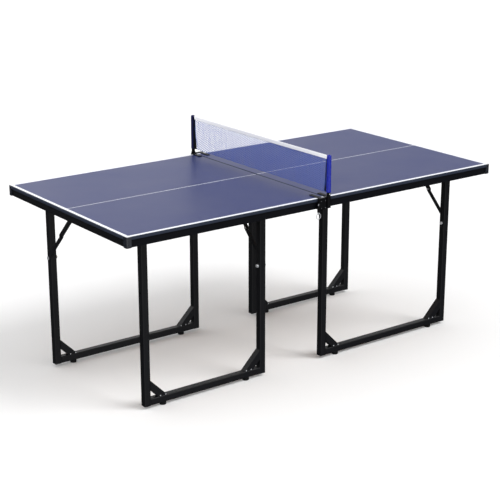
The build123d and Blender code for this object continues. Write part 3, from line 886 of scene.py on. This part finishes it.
def sew_binding(side):
    """The navy strip folded over the edge of a flap, from the hem to under the dome."""
    name, low, _, centre_y, radius, height = sleeve_room(side)
    length = height - DOME
    band = bmesh.new()
    bmesh.ops.create_grid(band, x_segments=BINDING_COLUMNS, y_segments=SLEEVE_RINGS, size=0.5)
    across_of = {point: point.co.x * 2 * (FLAP_BOTTOM - BINDING_ROOT) for point in band.verts}
    along_of = {point: (point.co.y + 0.5) * length for point in band.verts}
    keep_cut(band, across_of, along_of)
    for point in band.verts:
        share = (point.co.y + 0.5) * length / height
        reach = flap_reach(share)
        back = abs(point.co.x * 2) * (reach - BINDING_ROOT)
        out = reach + BINDING_GAP - back
        half = flap_half(min(out, reach), reach, radius) + BINDING_GAP
        sideways = math.copysign(half * min(1.0, (back / BINDING_GAP) ** 0.5), point.co.x)
        point.co = Vector((sideways, centre_y - side * out, low.z + share * height))
    bmesh.ops.recalc_face_normals(band, faces=band.faces)
    binding = make_piece(f"{name}_binding", band, binding_cloth, "net_set")
    wall = binding.modifiers.new("cloth", "SOLIDIFY")
    wall.thickness = BINDING_CLOTH
    wall.offset = 0
    stitches = bmesh.new()
    for index in range(int(length / STITCH_PITCH)):
        share = (index + 0.5) * STITCH_PITCH / height
        reach = flap_reach(share)
        out = BINDING_ROOT + 2.5 * MM
        half = flap_half(out, reach, radius) + BINDING_GAP + BINDING_CLOTH / 2
        for facing in (-1, 1):
            seat = Vector((facing * half, centre_y - side * out, low.z + share * height))
            bead = Matrix.Translation(seat) @ Matrix.Diagonal((0.25 * MM, 0.3 * MM, 1.2 * MM, 1))
            bmesh.ops.create_icosphere(stitches, subdivisions=1, radius=1, matrix=bead)
    thread = make_piece(f"{name}_binding_stitches", stitches, blue_thread, "net_set")
    return binding, (FLAP_BOTTOM + FLAP_TOP - 2 * BINDING_ROOT, length), thread


sleeves = {side: sew_sleeve(side) for side in (-1, 1)}
bindings = {side: sew_binding(side) for side in (-1, 1)}
print("sleeve cut:", [round(length / MM) for length in sleeves[-1][1]], "mm")

# %% [markdown]
# ## The sleeves by name
#
# A loop names the near and the far sleeve in turn, and does nothing more. The sizes of
# the flat cuts stay with the sleeves and bindings that gave them back. A net is mostly
# holes: its cords cover about half of its outline.

for side in (-1, 1):
    name = "near" if side < 0 else "far"

# %% [markdown]
# ## The floor
#
# The table stands on a plain pale floor that runs past the camera's view. The floor
# is left out of mirrored light, so that the black rails and tubes, which would
# otherwise mirror it, stay black.

# %% Floor
def floor_finish():
    finish = Finish("studio_floor")
    cloud = finish.specks(2.5, detail=1.0)
    return finish.surface({
        "Base Color": finish.mix(cloud, (0.93, 0.93, 0.935, 1), (0.95, 0.95, 0.95, 1)),
        "Roughness": 0.9,
        "Specular IOR Level": 0.1,
    })


ground = bmesh.new()
bmesh.ops.create_grid(ground, x_segments=1, y_segments=1, size=40)
floor_mesh = bpy.data.meshes.new("floor")
ground.to_mesh(floor_mesh)
ground.free()
floor_mesh.materials.append(floor_finish())
floor = bpy.data.objects.new("floor", floor_mesh)
bpy.context.scene.collection.objects.link(floor)
floor.visible_glossy = False
print("floor laid")

# %% [markdown]
# ## The studio
#
# The world is the room round the table: a roof and walls of soft light, and a long
# low strip at the back that the lacquer mirrors at a glancing angle. Lamps could
# make each of these, but one world does it with a few sums on the direction of
# view, and has no edges to show up in the paint. One sun, high at the right of the
# near side and very wide, gives the soft shadows.

# %% Studio
KEY_FROM = Vector((0.45, -0.60, 0.80))
KEY_WIDTH = math.radians(30)
KEY_STRENGTH = 1.5


def studio_world():
    """Light walls seen from the table: a strip low at the back, a roof, a left and a front wall."""
    finish = Finish("studio", bpy.data.worlds)
    x, y, z = finish.split(finish.node("ShaderNodeTexCoord", output="Generated"))
    slope = z / (y | 0.05)
    strip = (1 - slope.above(0.31, 0.14)) * y.above(0.2, 0.3) * (2.6 - 0.8 * x.above(0.6, 0.5))
    roof = z.above(0.75, 0.3)
    left = 1.1 * (-1 * x).above(0.1, 0.6)
    front = 0.9 * (-1 * y).above(0.3, 0.6)
    above = 0.28 | strip | roof | left | front
    below = 0.02 + 0.95 * (-1 * y - 0.25 * x).above(0.72, 0.5)
    up = z.above(0.0, 0.02)
    seen = finish.node("ShaderNodeLightPath", output="Is Camera Ray")
    strength = seen | (up * above + (1 - up) * below)
    sockets = {"Color": (1, 1, 1, 1), "Strength": strength}
    light = finish.node("ShaderNodeBackground", None, sockets)
    return finish.closed(light, "ShaderNodeOutputWorld")


bpy.context.scene.world = studio_world()

sun = bpy.data.lights.new("key", "SUN")
sun.angle = KEY_WIDTH
sun.energy = KEY_STRENGTH
key = bpy.data.objects.new("key", sun)
key.rotation_euler = KEY_FROM.to_track_quat("Z", "Y").to_euler()
bpy.context.scene.collection.objects.link(key)
bpy.context.scene.view_settings.view_transform = "Standard"
print("studio lit")
